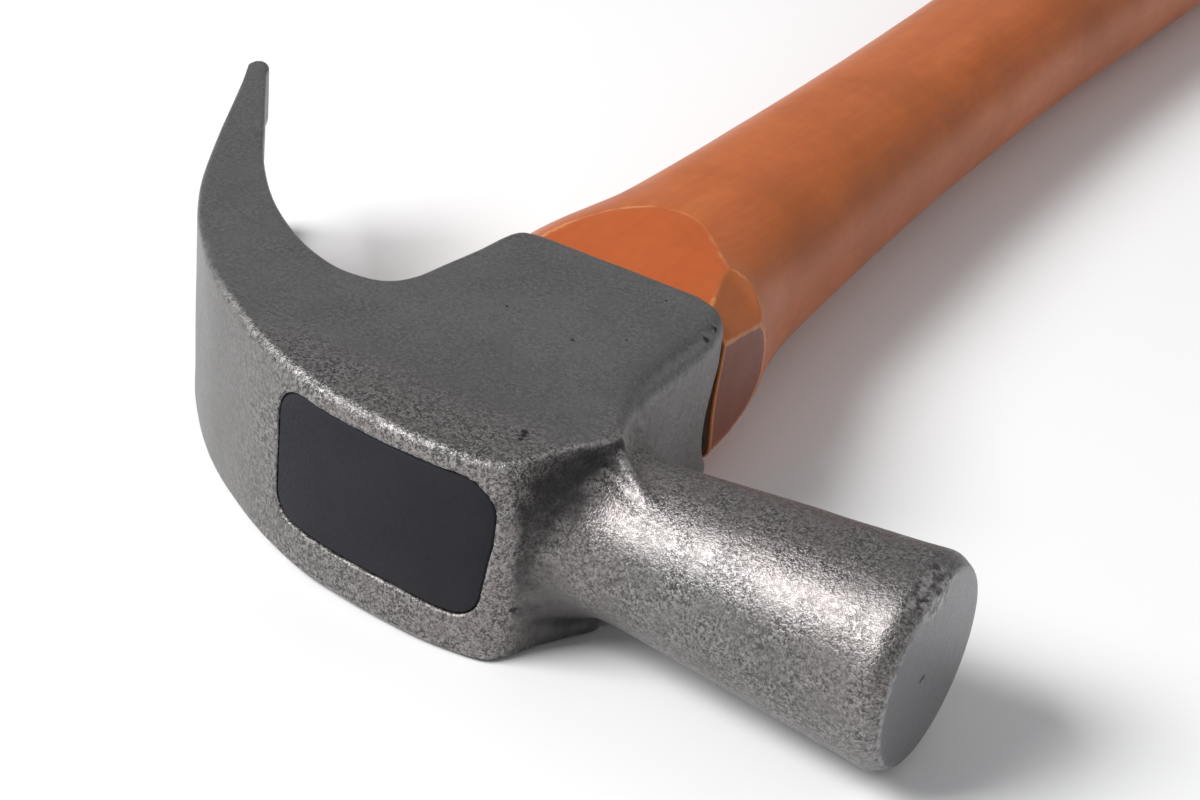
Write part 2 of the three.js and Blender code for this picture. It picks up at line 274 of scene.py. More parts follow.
# a dented stretch of the chamfer: middles and radii of the hollows
NICKS = [((66.68, 9.59, 13.14), 2.0), ((67.2, 12.8, 14.1), 2.0), ((67.6, 15.9, 14.2), 2.0)]
SLOT_APEX = np.array([-44.5, 30.5])
SLOT_TIP = np.array([-69.2, 65.6])
SLOT_LEN = float(np.hypot(*(SLOT_TIP - SLOT_APEX)))
SLOT_U = (SLOT_TIP - SLOT_APEX) / SLOT_LEN


def neck_radius(x):
    flare = np.where(x < 31, 0.016 * (31 - np.minimum(x, 31)) ** 2 * 1.6, 0)
    return 10.4 + (x - 31) * (13.5 - 10.4) / (64.9 - 31) + np.minimum(flare, 4)


def eye_shape(y):
    """Middle x, middle z, half lengths and the radii of the upper and the
    lower corners of the eye."""
    t = (y + 10) / 66
    return 0.9, 2.1 - 2.3 * t, 16.9 - 1.7 * t, 9.75 - 0.55 * t, 5.2 - 0.8 * t, 3.4 + 0.8 * t


def eye_field(x, y, z, grow=0.0):
    cx, cz, hx, hz, r, low = eye_shape(y)
    hx, hz = hx + grow, hz + grow
    below = np.clip((cz - z) / 4, 0, 1)
    hz = hz + 0.5 * below * np.clip((x - 5) / 6, 0, 1) * np.clip((20 - y) / 20, 0, 1)
    # the end beside the neck leans in below the middle
    lean = 0.125 * np.clip(cz + 1.5 - z, 0, 9) * np.clip((25 - y) / 15, 0, 1)
    hx = hx - np.where(x > cx, lean, 0)
    r = np.where(z > cz, r, low) + grow
    qx = np.abs(x - cx) - hx + r
    qz = np.abs(z - cz) - hz + r
    return np.minimum(np.maximum(qx, qz), 0) + np.hypot(np.maximum(qx, 0), np.maximum(qz, 0)) - r


def spur(x, y, az):
    """The small ridge that runs from each tip of the web down to the neck."""
    a = np.array([23.4, 13.7, 12.7])
    b = np.array([31.0, 10.9, 8.9])
    d = b - a
    t = np.clip(((x - a[0]) * d[0] + (y - a[1]) * d[1] + (az - a[2]) * d[2]) / (d @ d), 0, 1)
    q = np.sqrt((x - a[0] - d[0] * t) ** 2 + (y - a[1] - d[1] * t) ** 2 + (az - a[2] - d[2] * t) ** 2)
    return q - (1.15 - 0.75 * t)


def root_shade(x, y, z):
    """1 on the block right beside the root of the neck, falling to 0; it marks dark scale together with painted shade.
    """
    d2, r, _ = plane(x, y)
    away = np.hypot(y - NECK_Y, z) - neck_radius(x)
    near = np.clip(1 - np.maximum(away, 0) / 9, 0, 1) * np.clip(1.2 - np.maximum(d2, 0) / 3.6, 0, 1)
    near = near * np.clip((x - 17.0 - 0.20 * np.clip(13.5 - z, 0, 9)) / 1.3, 0, 1)
    # stronger on the upper half: this part is painted shade, set by where the light falls
    upper = 0.55 + 0.45 * np.clip((z + 4) / 12, 0, 1)
    return near * upper * np.where(y > 14, 0.55, 1.0)


def head_field(x, y, z):
    """Signed distance, nearly, to the surface of the head."""
    d2, r, hook = plane(x, y)
    az = np.abs(z)
    wx, wz = d2 + r, az - HALF + r
    plate = np.minimum(np.maximum(wx, wz), 0) + np.hypot(np.maximum(wx, 0), np.maximum(wz, 0)) - r

    # claw side of the eye wall, fuller at mid thickness
    q = (np.maximum(-5 - x, 0) / 14.3) ** 2.6 + (az / 12.3) ** 2.6
    wall = (q ** (1 / 2.6) - 1) * 12.3
    wall = smax(wall, np.maximum(y - 49.2, 17 - y), 1.2)
    wall = np.maximum(wall, x - 6)
    body = smin(plate, wall, 1.4)

    # neck and striking face
    rho = np.hypot(y - NECK_Y, z)
    side = rho - neck_radius(x)
    chamfer = ((x - 64.9) * 1.2 + (rho - 13.5) * 2.1) / math.hypot(1.2, 2.1)
    neck = smax(side, chamfer, 0.5)
    neck = smax(neck, x - FACE_X, 0.5)
    rough = 0.28 * np.sin(2.1 * x + 1.7 * y) * np.cos(2.3 * z - 0.9 * y)
    for place, radius in NICKS:
        q = np.sqrt((x - place[0]) ** 2 + (y - place[1]) ** 2 + (z - place[2]) ** 2)
        neck = smax(neck, radius - q + rough, 0.25)
    neck = np.maximum(neck, 6 - x)
    body = smin(body, neck, 0.9 + 3.4 * np.clip((13.4 - az) / 4.5, 0, 1))
    body = smin(body, spur(x, y, az), 1.3)
    body = np.maximum(body, az - HALF)

    # slight unevenness of the forging
    uneven = 0.05 * noise_a(x / 11, y / 11, z / 11) + 0.03 * noise_b(x / 4.3, y / 4.3, z / 4.3)
    calm = np.clip((FACE_X - 3.5 - x) / 3, 0, 1)
    body = body + (uneven + 0.05) * calm

    body = smax(body, -eye_field(x, y, z), 0.3)

    arch = (np.hypot((y - 49.8) / 7.2, z / 8.2) - 1) * 7.2
    arch = smax(arch, -30 - x, 1.0)
    body = smax(body, -arch, 1.2)

    s = (x - SLOT_APEX[0]) * SLOT_U[0] + (y - SLOT_APEX[1]) * SLOT_U[1]
    width = 0.4 + 4.6 * s / SLOT_LEN + np.clip(1.6 - hook, 0, 1.6) * 0.5
    slot = smax(az - width, -s, 1.0)
    claw = (x < -30) & (y > 20)
    body = np.where(claw, smax(body, -slot, 0.7), body)
    return body


def grid_line(lo, hi, close_lo, close_hi, close, wide):
    """Places along one axis, set closer between close_lo and close_hi."""
    out = [lo]
    while out[-1] < hi:
        out.append(out[-1] + (close if close_lo < out[-1] < close_hi else wide))
    return np.array(out)


def surface_nets(field, axes):
    n = np.array([len(a) for a in axes])
    F = np.empty(n, np.float32)
    for i in range(0, n[0], 16):
        X, Y, Z = np.meshgrid(axes[0][i : i + 16], axes[1], axes[2], indexing="ij")
        F[i : i + 16] = field(X, Y, Z)
    total = np.zeros((*(n - 1), 3), np.float32)
    count = np.zeros(n - 1, np.float32)
    quads = []
    inside = F < 0
    for axis in range(3):
        lowp = [slice(None)] * 3
        highp = [slice(None)] * 3
        lowp[axis], highp[axis] = slice(0, -1), slice(1, None)
        a, b = F[tuple(lowp)], F[tuple(highp)]
        change = inside[tuple(lowp)] != inside[tuple(highp)]
        idx = np.argwhere(change)
        va, vb = a[change], b[change]
        t = va / (va - vb)
        pos = idx.astype(np.float32)
        pos[:, axis] += t
        other = [k for k in range(3) if k != axis]
        corners = []
        for o1, o2 in ((-1, -1), (0, -1), (0, 0), (-1, 0)):
            c = idx.copy()
            c[:, other[0]] += o1
            c[:, other[1]] += o2
            corners.append(c)
        for c in corners:
            np.add.at(total, (c[:, 0], c[:, 1], c[:, 2]), pos)
            np.add.at(count, (c[:, 0], c[:, 1], c[:, 2]), 1)
        out = va < 0  # solid on the low side: the face looks along +axis
        if axis == 1:
            out = ~out
        quads.append((corners, out))
    used = count > 0
    number = np.full(n - 1, -1, int)
    number[used] = np.arange(used.sum())
    place = total[used] / count[used][:, None]
    points = np.stack([np.interp(place[:, k], np.arange(n[k]), axes[k]) for k in range(3)], 1)
    faces = []
    for corners, out in quads:
        f = np.stack([number[c[:, 0], c[:, 1], c[:, 2]] for c in corners], 1)
        faces.append(np.where(out[:, None], f, f[:, ::-1]))
    return points.astype(float), np.concatenate(faces)


def gradient(field, p, h=0.05):
    g = np.empty_like(p)
    for k in range(3):
        q0, q1 = p.copy(), p.copy()
        q0[:, k] -= h
        q1[:, k] += h
        g[:, k] = (field(*q1.T) - field(*q0.T)) / (2 * h)
    return g


def project(field, p, rounds=3, most=0.2):
    for _ in range(rounds):
        g = gradient(field, p)
        move = field(*p.T)[:, None] * g / np.maximum((g**2).sum(1), 0.2)[:, None]
        size = np.linalg.norm(move, axis=1)
        move *= np.minimum(1, most / np.maximum(size, 1e-9))[:, None]
        p = p - move
    return p


def make_mesh(name, points, faces, attributes=None):
    mesh = bpy.data.meshes.new(name)
    mesh.vertices.add(len(points))
    mesh.vertices.foreach_set("co", to_row(points).astype(np.float32).ravel())
    faces = np.asarray(faces)
    size = faces.shape[1]
    mesh.loops.add(faces.size)
    mesh.loops.foreach_set("vertex_index", faces.astype(np.int32).ravel())
    mesh.polygons.add(len(faces))
    mesh.polygons.foreach_set("loop_start", np.arange(0, faces.size, size, dtype=np.int32))
    mesh.polygons.foreach_set("use_smooth", np.ones(len(faces), bool))
    mesh.update(calc_edges=True)
    mesh.validate()
    for key, values in (attributes or {}).items():
        a = mesh.attributes.new(key, "FLOAT", "POINT")
        a.data.foreach_set("value", np.asarray(values, np.float32))
    obj = bpy.data.objects.new(name, mesh)
    bpy.context.scene.collection.objects.link(obj)
    return obj


def build_head():
    coarse = 1.0
    axes = [
        grid_line(-72.5, 68.5, -23, 25, 0.42 * coarse, 0.62 * coarse),
        grid_line(-4.5, 68.6, -5, 9, 0.40 * coarse, 0.57 * coarse),
        grid_line(-15.3, 15.3, -16, 16, 0.46 * coarse, 0.46 * coarse),
    ]
    points, faces = surface_nets(head_field, axes)
    points = project(head_field, points)
    points[:, 2] = np.clip(points[:, 2], -HALF + 0.01, HALF - 0.01)
    # how sharply the surface bends: above 0 on outer edges, below 0 in corners
    h = 0.7
    bend = -6 * head_field(*points.T)
    for k in range(3):
        for s in (-h, h):
            q = points.copy()
            q[:, k] += s
            bend += head_field(*q.T)
    bend /= h * h
    normal = gradient(head_field, points)
    tilt = np.abs(normal[:, 2]) / np.maximum(np.linalg.norm(normal, axis=1), 1e-6)
    # dark scale and painted shade beside the neck, kept off the cheeks and put on faces turned away from the light
    root = root_shade(*points.T) * np.clip((0.85 - tilt) / 0.3, 0, 1)
    # weaker at the eye's edge, which tones down the rubbed-bright wear and painted highlight there
    bend = bend * np.clip(eye_field(*points.T) / 1.0, 0.4, 1)
    obj = make_mesh("forged_head", points, faces, {"bend": bend, "root": root})
    return obj


head = build_head()
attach(head, "root")
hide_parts("hammer_head")


# ------------------------------------------------------------------- handle
# [y, claw side x, face side x, half thickness, exponent of the oval]
HANDLE = np.array(
    [
        (49.5, -17.6, 21.4, 13.9, 2.9), (56, -17.6, 20.8, 13.9, 2.8),
        (62, -17.1, 19.7, 13.7, 2.7), (68, -16.3, 18.0, 13.3, 2.6),
        (75, -15.4, 16.6, 12.9, 2.5), (82, -15.0, 15.8, 12.6, 2.5),
        (100, -14.6, 15.0, 12.2, 2.4), (130, -13.9, 13.9, 11.8, 2.3),
        (160, -13.7, 13.7, 11.7, 2.3), (190, -14.0, 14.0, 11.9, 2.3),
        (220, -15.4, 15.2, 12.7, 2.3), (250, -17.0, 16.6, 13.6, 2.3),
        (275, -17.8, 17.2, 14.05, 2.3), (295, -17.8, 17.1, 13.95, 2.3),
        (312, -17.2, 16.5, 13.6, 2.3), (322.7, -16.4, 15.8, 13.0, 2.3),
    ]
)
# flats cut on the shoulder: normal in X and Z, distance from (2, 0) at the
# shoulder and how it grows with y
FLATS = [
    ((0.0, 1.0), 12.3, 0.048), ((0.0, -1.0), 12.3, 0.048),
    ((1.0, 0.0), 18.3, -0.05), ((-1.0, 0.0), 18.9, 0.0),
    ((0.674, 0.739), 19.1, -0.20), ((0.72, -0.694), 18.7, -0.04),
    ((-0.66, 0.751), 18.9, 0.0), ((-0.66, -0.751), 18.9, 0.0),
]
SHOULDER_Y = 49.5
BUTT_ROUND = 5.0


def handle_row(y):
    k = int(np.clip(np.searchsorted(HANDLE[:, 0], y, "right") - 1, 0, len(HANDLE) - 2))
    p0, p1, p2, p3 = HANDLE[max(k - 1, 0)], HANDLE[k], HANDLE[k + 1], HANDLE[min(k + 2, len(HANDLE) - 1)]
    t = float(np.clip((y - p1[0]) / (p2[0] - p1[0]), 0, 1))
    gap = p2[0] - p1[0]
    m1 = (p2 - p0) / max(p2[0] - p0[0], 1e-6) * gap
    m2 = (p3 - p1) / max(p3[0] - p1[0], 1e-6) * gap
    near = np.abs(p2 - p1)
    m1 = np.sign(m1) * np.minimum(np.abs(m1), 3 * near)
    m2 = np.sign(m2) * np.minimum(np.abs(m2), 3 * near)
    t2, t3 = t * t, t * t * t
    return (2 * t3 - 3 * t2 + 1) * p1 + (t3 - 2 * t2 + t) * m1 + (-2 * t3 + 3 * t2) * p2 + (t3 - t2) * m2


def handle_ring(y, a, shrink=1.0):
    """Points of one section, how close each is to the edge of a flat, and
    which flat it lies on: 0 none, 1 cheek flat, 2 corner flat, 3 side flat."""
    _, rear, front, half, e = handle_row(min(y, 322.7))
    cx, hx = (rear + front) / 2, (front - rear) / 2
    c, s = np.cos(a), np.sin(a)
    # squarer towards the upper cheek and the face side under the head
    near = float(np.clip((66 - y) / 12, 0, 1))
    e = e + 1.3 * near * near * (3 - 2 * near) * ((c > 0) & (s > 0))
    reach = ((np.abs(c) / hx) ** e + (np.abs(s) / half) ** e) ** (-1 / e)
    edge = np.zeros_like(a)
    flat = np.zeros_like(a)
    if y < 92:
        second = reach.copy()
        best = reach.copy()
        for i, (n, d, k) in enumerate(FLATS):
            f = n[0] * c + n[1] * s
            dist = d + k * (y - SHOULDER_Y) - n[0] * (cx - 2)
            away = 0.055 * max(0, y - 58) ** 2 if i == 4 else max(0, y - 74) * 0.6
            q = np.where(f > 1e-3, (dist + away) / np.maximum(f, 1e-3), 99)
            lower = q < best
            second = np.where(lower, best, np.minimum(second, q))
            flat = np.where(lower, 1 + i // 2 if i < 4 else 3, flat)
            best = np.where(lower, q, best)
            reach = smin(reach, q, 0.35)
        edge = second - best
    reach = reach * shrink
    return cx + reach * c, reach * s, edge, flat


def eye_ring(y, inset, a):
    """The wall of the eye, moved in by inset, met by rays from its middle."""
    cx, cz, _, _, _, _ = eye_shape(y)
    c, s = np.cos(a), np.sin(a)
    lo, hi = np.zeros_like(a), np.full_like(a, 40.0)
    for _ in range(40):
        mid = (lo + hi) / 2
        d = eye_field(cx + mid * c, y + 0 * a, cz + mid * s) + inset
        lo, hi = np.where(d < 0, mid, lo), np.where(d < 0, hi, mid)
    return cx + lo * c, cz + lo * s


def loft(name, rings, values):
    """Closed skin over rings of equal length, with a point in each end."""
    n = len(rings[0])
    pts = np.concatenate(rings)
    faces = []
    j = np.arange(n)
    k = (j + 1) % n
    for i in range(len(rings) - 1):
        b0, b1 = i * n, (i + 1) * n
        faces.append(np.stack([b0 + j, b0 + k, b1 + k, b1 + j], 1))
    faces = np.concatenate(faces)
    first, last = len(pts), len(pts) + 1
    pts = np.concatenate([pts, rings[0].mean(0)[None], rings[-1].mean(0)[None]])
    base = (len(rings) - 1) * n
    caps = np.concatenate(
        [
            np.stack([np.full(n, first), k, j], 1),
            np.stack([np.full(n, last), base + j, base + k], 1),
        ]
    )
    mesh = bpy.data.meshes.new(name)
    mesh.vertices.add(len(pts))
    mesh.vertices.foreach_set("co", to_row(pts).astype(np.float32).ravel())
    loops = np.concatenate([faces.ravel(), caps.ravel()])
    starts = np.concatenate([np.arange(len(faces)) * 4, faces.size + np.arange(len(caps)) * 3])
    mesh.loops.add(len(loops))
    mesh.loops.foreach_set("vertex_index", loops.astype(np.int32))
    mesh.polygons.add(len(starts))
    mesh.polygons.foreach_set("loop_start", starts.astype(np.int32))
    mesh.polygons.foreach_set("use_smooth", np.ones(len(starts), bool))
    mesh.update(calc_edges=True)
    mesh.validate()
    for key, v in values.items():
        v = np.concatenate([np.concatenate(v), [v[0].mean(), v[-1].mean()]])
        mesh.attributes.new(key, "FLOAT", "POINT").data.foreach_set("value", v.astype(np.float32))
    obj = bpy.data.objects.new(name, mesh)
    bpy.context.scene.collection.objects.link(obj)
    return obj


def build_handle():
    n = 320
    a = -np.arange(n) / n * 2 * math.pi
    fine = 0.26
    rings, edges, flats, ends, levels = [], [], [], [], []

    def add(x, y, z, edge=0.0, flat=0.0, end=0.0):
        levels.append(float(y))
        y = y + 0 * x
        # the shoulder is fitted to the curved end of the skirt
        back = np.interp(x, [15.4, 17.2, 18.9, 20.4], [0.0, 0.42, 1.1, 1.6])
        arched = np.clip((x - 16) / 2, 0, 1) * 0.7 * np.clip(1.2 - np.abs(z) / 7, 0, 1)
        fade = np.clip((y - 48.9) / 0.5, 0, 1) * np.clip((53 - y) / 3.5, 0, 1)
        y = y - (back + arched) * fade
        rings.append(np.stack([x, y, z], 1))
        edges.append(edge + 0 * x)
        flats.append(flat + 0 * x)
        ends.append(end + 0 * x)

    # tenon in the eye, its top first
    for y, inset in ((5.5, 3.0), (5.5, 0.9), (5.9, 0.5), (6.6, 0.3), (14, 0.3), (24, 0.3), (36, 0.3), (48, 0.3), (49.45, 0.3)):
        x, z = eye_ring(y, inset, a)
        add(x, y, z, end=1.0)
    # shoulder face, with its edge softened
    x1, z1, e1, f1 = handle_ring(SHOULDER_Y, a)
    x0, z0 = eye_ring(SHOULDER_Y, 0.3, a)
    for t in (0.15, 0.5, 0.85):
        add(x0 + (x1 - x0) * t, SHOULDER_Y, z0 + (z1 - z0) * t, end=2.0)
    for lift, inset in ((0.0, 0.35), (0.08, 0.12), (0.22, 0.02)):
        r = np.hypot(x1 - 1.5, z1)
        q = 1 - inset / r
        add(1.5 + (x1 - 1.5) * q, SHOULDER_Y + lift, z1 * q, edge=0.7)
    y = SHOULDER_Y + 0.5
    ys = []
    while y < 72.5:
        ys.append(y)
        y += fine
    while y < BUTT_Y - BUTT_ROUND:
        ys.append(y)
        y += 1.7
    for y in ys:
        x, z, e, f = handle_ring(y, a)
        yy = y + 0 * x
        wave = 0.05 * noise_a(x / 9, yy / 16, z / 9) + 0.02 * noise_b(x / 3, yy / 4, z / 3)
        wave = wave * np.clip((y - 51) / 5, 0, 1) * np.where(f > 0, 0.4, 1) - 0.05
        r = np.hypot(x, z)
        add(x * (1 + wave / r), y, z * (1 + wave / r), e, f)
    for i in range(1, 15):
        t = i / 14 * math.pi / 2 * 0.97
        grow = math.sin(t) / math.sin(math.pi / 2 * 0.97)
        x, z, _, _ = handle_ring(322.7, a, 1 - 0.24 * (1 - math.cos(t)))
        add(x, BUTT_Y - BUTT_ROUND + BUTT_ROUND * grow, z, end=max(0, (i - 9) / 5))
    x2, z2 = rings[-1][:, 0], rings[-1][:, 2]
    for q in (0.8, 0.5, 0.2):
        add(-0.2 + (x2 + 0.2) * q, BUTT_Y, z2 * q, end=1.0)
    # distance to the nearest line where one flat meets the next
    near = [i for i, y in enumerate(levels) if 49.95 < y < 82]
    gap = np.array([edges[i] for i in near])
    kind = np.array([flats[i] for i in near])
    place = np.array([rings[i] for i in near])
    marks = {k: [np.zeros(n) for _ in rings] for k in (1, 2, 3)}
    # pale lines on the shoulder's edge and where flats meet: a painted highlight
    edges = [e * 0 + (0.8 if e[0] == 0.7 else 0) for e in edges]
    crossings = []
    for g1, k1, p1, g0, k0, p0 in (
        (np.roll(gap, 1, 1), np.roll(kind, 1, 1), np.roll(place, 1, 1), gap, kind, place),
        (gap[1:], kind[1:], place[1:], gap[:-1], kind[:-1], place[:-1]),
    ):
        other = k1 != k0
        t = (g0 / np.maximum(g0 + g1, 1e-6))[other][:, None]
        crossings.append(p0[other] * (1 - t) + p1[other] * t)
    crossings = np.concatenate(crossings)
    for row, i in enumerate(near):
        here = crossings[np.abs(crossings[:, 1] - levels[i] + 1) < 3.5]
        if not len(here):
            continue
        away = np.sqrt(((place[row][:, None] - here[None]) ** 2).sum(2).min(1))
        uneven = noise_b(*(place[row].T / 2))
        edges[i] = np.exp(-((away / 0.40) ** 2)) * np.clip(0.7 + 0.6 * uneven, 0, 1)
        for k in marks:
            marks[k][i] = (kind[row] == k) * np.clip(away / 0.3, 0, 1)
    values = {"edge": edges, "cheek_flat": marks[1], "side_flat_shade": marks[2], "corner_flat": marks[3], "end": ends}
    obj = loft("turned_handle", rings, values)
    return obj


def cut(obj, cutter):
    mod = obj.modifiers.new("cut", "BOOLEAN")
    mod.operation = "DIFFERENCE"
    mod.solver = "EXACT"
    mod.object = cutter
    depsgraph = bpy.context.evaluated_depsgraph_get()
    mesh = bpy.data.meshes.new_from_object(obj.evaluated_get(depsgraph))
    obj.modifiers.clear()
    old = obj.data
    obj.data = mesh
    mesh.name = obj.name
    bpy.data.meshes.remove(old)
    data = cutter.data
    bpy.data.objects.remove(cutter)
    bpy.data.meshes.remove(data)


def wedge_cutter(y0, y1, half0, half1, wide, cx, along_x):
    """A block that narrows from half0 at y0 to half1 at y1."""
    pts = []
    for y, h in ((y0, half0), (y1, half1)):
        for sa, sb in ((-1, -1), (1, -1), (1, 1), (-1, 1)):
            if along_x:  # thin along X, wide along Z
                pts.append((cx + sa * h, y, 1.1 + sb * wide))
            else:
                pts.append((cx + sa * wide, y, 1.1 + sb * h))
    faces = [(0, 1, 2, 3), (7, 6, 5, 4), (1, 0, 4, 5), (2, 1, 5, 6), (3, 2, 6, 7), (0, 3, 7, 4)]
    mesh = bpy.data.meshes.new("cutter")
    mesh.from_pydata([tuple(p) for p in to_row(pts)], [], faces)
    mesh.update()
    obj = bpy.data.objects.new("cutter", mesh)
    bpy.context.scene.collection.objects.link(obj)
    return obj


handle = build_handle()
cut(handle, wedge_cutter(1.5, 37, 2.95, 0.8, 30, 0, False))
for x in (9.4, -7.8):
    cut(handle, wedge_cutter(3.0, 23.0, 2.05, 0.6, 7.1, x, True))
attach(handle, "root")
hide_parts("handle")


# ---------------------------------------------------------------- eye seal
def build_seal():
    n = 192
    a = -np.arange(n) / n * 2 * math.pi
    top_x = outline[:, 0]
    keep = (np.arange(len(top_x)) < (len(OUTER) + 2) * 8) & (np.abs(outline[:, 0]) < 24)
    ox, oy = outline[keep, 0], outline[keep, 1]
    order = np.argsort(ox)
    ox, oy = ox[order], oy[order]

    def top(x):
        return np.interp(x, ox, oy)

    rings, rim_highlight = [], []
    bottom = 5.2
    for inset, y in ((2.5, bottom), (0.7, bottom), (0.4, bottom + 0.0)):
        x, z = eye_ring(y, inset, a)
        rings.append(np.stack([x, y + 0 * x, z], 1))
        rim_highlight.append(0 * x)
    # side wall, then the rolled edge and the slightly dished top
    for inset, drop in ((0.3, 3.6), (0.12, 1.6), (0.1, 0.8), (0.14, 0.6), (0.25, 0.46), (0.45, 0.39), (0.8, 0.36), (2.0, 0.38), (3.6, 0.41), (5.6, 0.44), (7.6, 0.45)):
        x, z = eye_ring(0.0, inset, a)
        y = top(x) + drop
        rings.append(np.stack([x, y, z], 1))
        # the rolled edge, painted lighter later as a highlight
        rim_highlight.append(np.full(n, 1.0 if drop in (0.6, 0.46, 0.39) else 0.0))
    flat_x, flat_z = rings[-1][:, 0], rings[-1][:, 2]
    mid_x, mid_z = flat_x.mean(), flat_z.mean()
    for q in (0.75, 0.5, 0.25):
        x, z = mid_x + (flat_x - mid_x) * q, mid_z + (flat_z - mid_z) * q
        rings.append(np.stack([x, top(x) + 0.45, z], 1))
        rim_highlight.append(0 * x)
    rings = [r[::-1] for r in rings]
    rim_highlight = [r[::-1] for r in rim_highlight]
    rings.reverse()
    rim_highlight.reverse()
    return loft("moulded_seal", [r[::-1] for r in rings], {"rim_highlight": rim_highlight})


seal = build_seal()
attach(seal, "root")
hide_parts("eye_seal")


# ---------------------------------------------------------------- materials
class Nodes:
    """A small helper to build one node material."""

    def __init__(self, name):
        self.mat = bpy.data.materials.new(name)
        self.mat.use_nodes = True
        self.tree = self.mat.node_tree
        self.shader = self.tree.nodes["Principled BSDF"]
        self.coord = self.tree.nodes.new("ShaderNodeTexCoord").outputs["Object"]

    def put(self, socket, value):
        if isinstance(value, bpy.types.NodeSocket):
            self.tree.links.new(value, socket)
        else:
            socket.default_value = value

    def set(self, **values):
        for key, value in values.items():
            self.put(self.shader.inputs[key.replace("_", " ")], value)

    def scaled(self, sx, sy, sz, coord=None):
        m = self.tree.nodes.new("ShaderNodeMapping")
        m.inputs["Scale"].default_value = (sx, sy, sz)
        self.put(m.inputs["Vector"], coord or self.coord)
        return m.outputs[0]

    def noise(self, scale, detail=2.0, rough=0.5, coord=None, distortion=0.0):
        t = self.tree.nodes.new("ShaderNodeTexNoise")
        self.put(t.inputs["Vector"], coord or self.coord)
        t.inputs["Scale"].default_value = scale
        t.inputs["Detail"].default_value = detail
        t.inputs["Roughness"].default_value = rough
        t.inputs["Distortion"].default_value = distortion
        return t.outputs["Fac"]

    def voronoi(self, scale, coord=None, feature="F1", out="Distance", random=1.0):
        t = self.tree.nodes.new("ShaderNodeTexVoronoi")
        t.feature = feature
        self.put(t.inputs["Vector"], coord or self.coord)
        t.inputs["Scale"].default_value = scale
        t.inputs["Randomness"].default_value = random
        return t.outputs[out]

    def math(self, op, a, b=0.0, clamp=False):
        m = self.tree.nodes.new("ShaderNodeMath")
        m.operation = op
        m.use_clamp = clamp
        self.put(m.inputs[0], a)
        self.put(m.inputs[1], b)
        return m.outputs[0]

    def ramp(self, value, lo, hi, a=0.0, b=1.0, smooth=True):
        m = self.tree.nodes.new("ShaderNodeMapRange")
        m.interpolation_type = "SMOOTHSTEP" if smooth else "LINEAR"
        self.put(m.inputs["Value"], value)
        m.inputs["From Min"].default_value = lo
        m.inputs["From Max"].default_value = hi
        m.inputs["To Min"].default_value = a
        m.inputs["To Max"].default_value = b
        return m.outputs["Result"]

    def mix(self, factor, a, b, blend="MIX"):
        m = self.tree.nodes.new("ShaderNodeMix")
        m.data_type = "RGBA"
        m.blend_type = blend
        self.put(m.inputs[0], factor)
        for socket, v in ((m.inputs[6], a), (m.inputs[7], b)):
            self.put(socket, (*v, 1.0) if isinstance(v, tuple) and len(v) == 3 else v)
        return m.outputs[2]

    def attribute(self, name):
        t = self.tree.nodes.new("ShaderNodeAttribute")
        t.attribute_name = name
        return t.outputs["Fac"]

    def axes(self):
        s = self.tree.nodes.new("ShaderNodeSeparateXYZ")
        self.put(s.inputs[0], self.coord)
        return s.outputs[0], s.outputs[1], s.outputs[2]

    def near(self, point):
        d = self.tree.nodes.new("ShaderNodeVectorMath")
        d.operation = "DISTANCE"
        self.put(d.inputs[0], self.coord)
        d.inputs[1].default_value = tuple(to_row(point))
        return d.outputs["Value"]

    def bump(self, height, distance, strength=1.0, normal=None):
        b = self.tree.nodes.new("ShaderNodeBump")
        b.inputs["Strength"].default_value = strength
        b.inputs["Distance"].default_value = distance
        self.put(b.inputs["Height"], height)
        if normal is not None:
            self.put(b.inputs["Normal"], normal)
        return b.outputs[0]


PITS = [
    # place on the head and radius
    ((8.87, 28.57, 14.1), 0.27), ((13.99, 33.05, 14.1), 0.27), ((16.06, 6.41, 14.0), 0.50),
    ((15.76, 7.2, 14.0), 0.46), ((16.3, 5.7, 14.0), 0.38), ((21.1, 41.1, 13.7), 0.55),
    ((20.5, 44.0, 13.6), 0.5), ((19.3, 2.2, -6.7), 0.50), ((19.0, 1.6, 2.0), 0.30),
    ((67.0, 12.6, -0.2), 0.46), ((67.0, 13.26, -0.2), 0.46), ((12.65, 45.1, 14.1), 0.20),
    ((-2.0, 30.2, 14.1), 0.16), ((4.0, 12.0, 14.1), 0.18),
]


def ox(x):
    return float(to_row([x, 0, 0])[0])


def oy(y):
    return float(to_row([0, y, 0])[1])


def oz(z):
    return float(to_row([0, 0, z])[2])


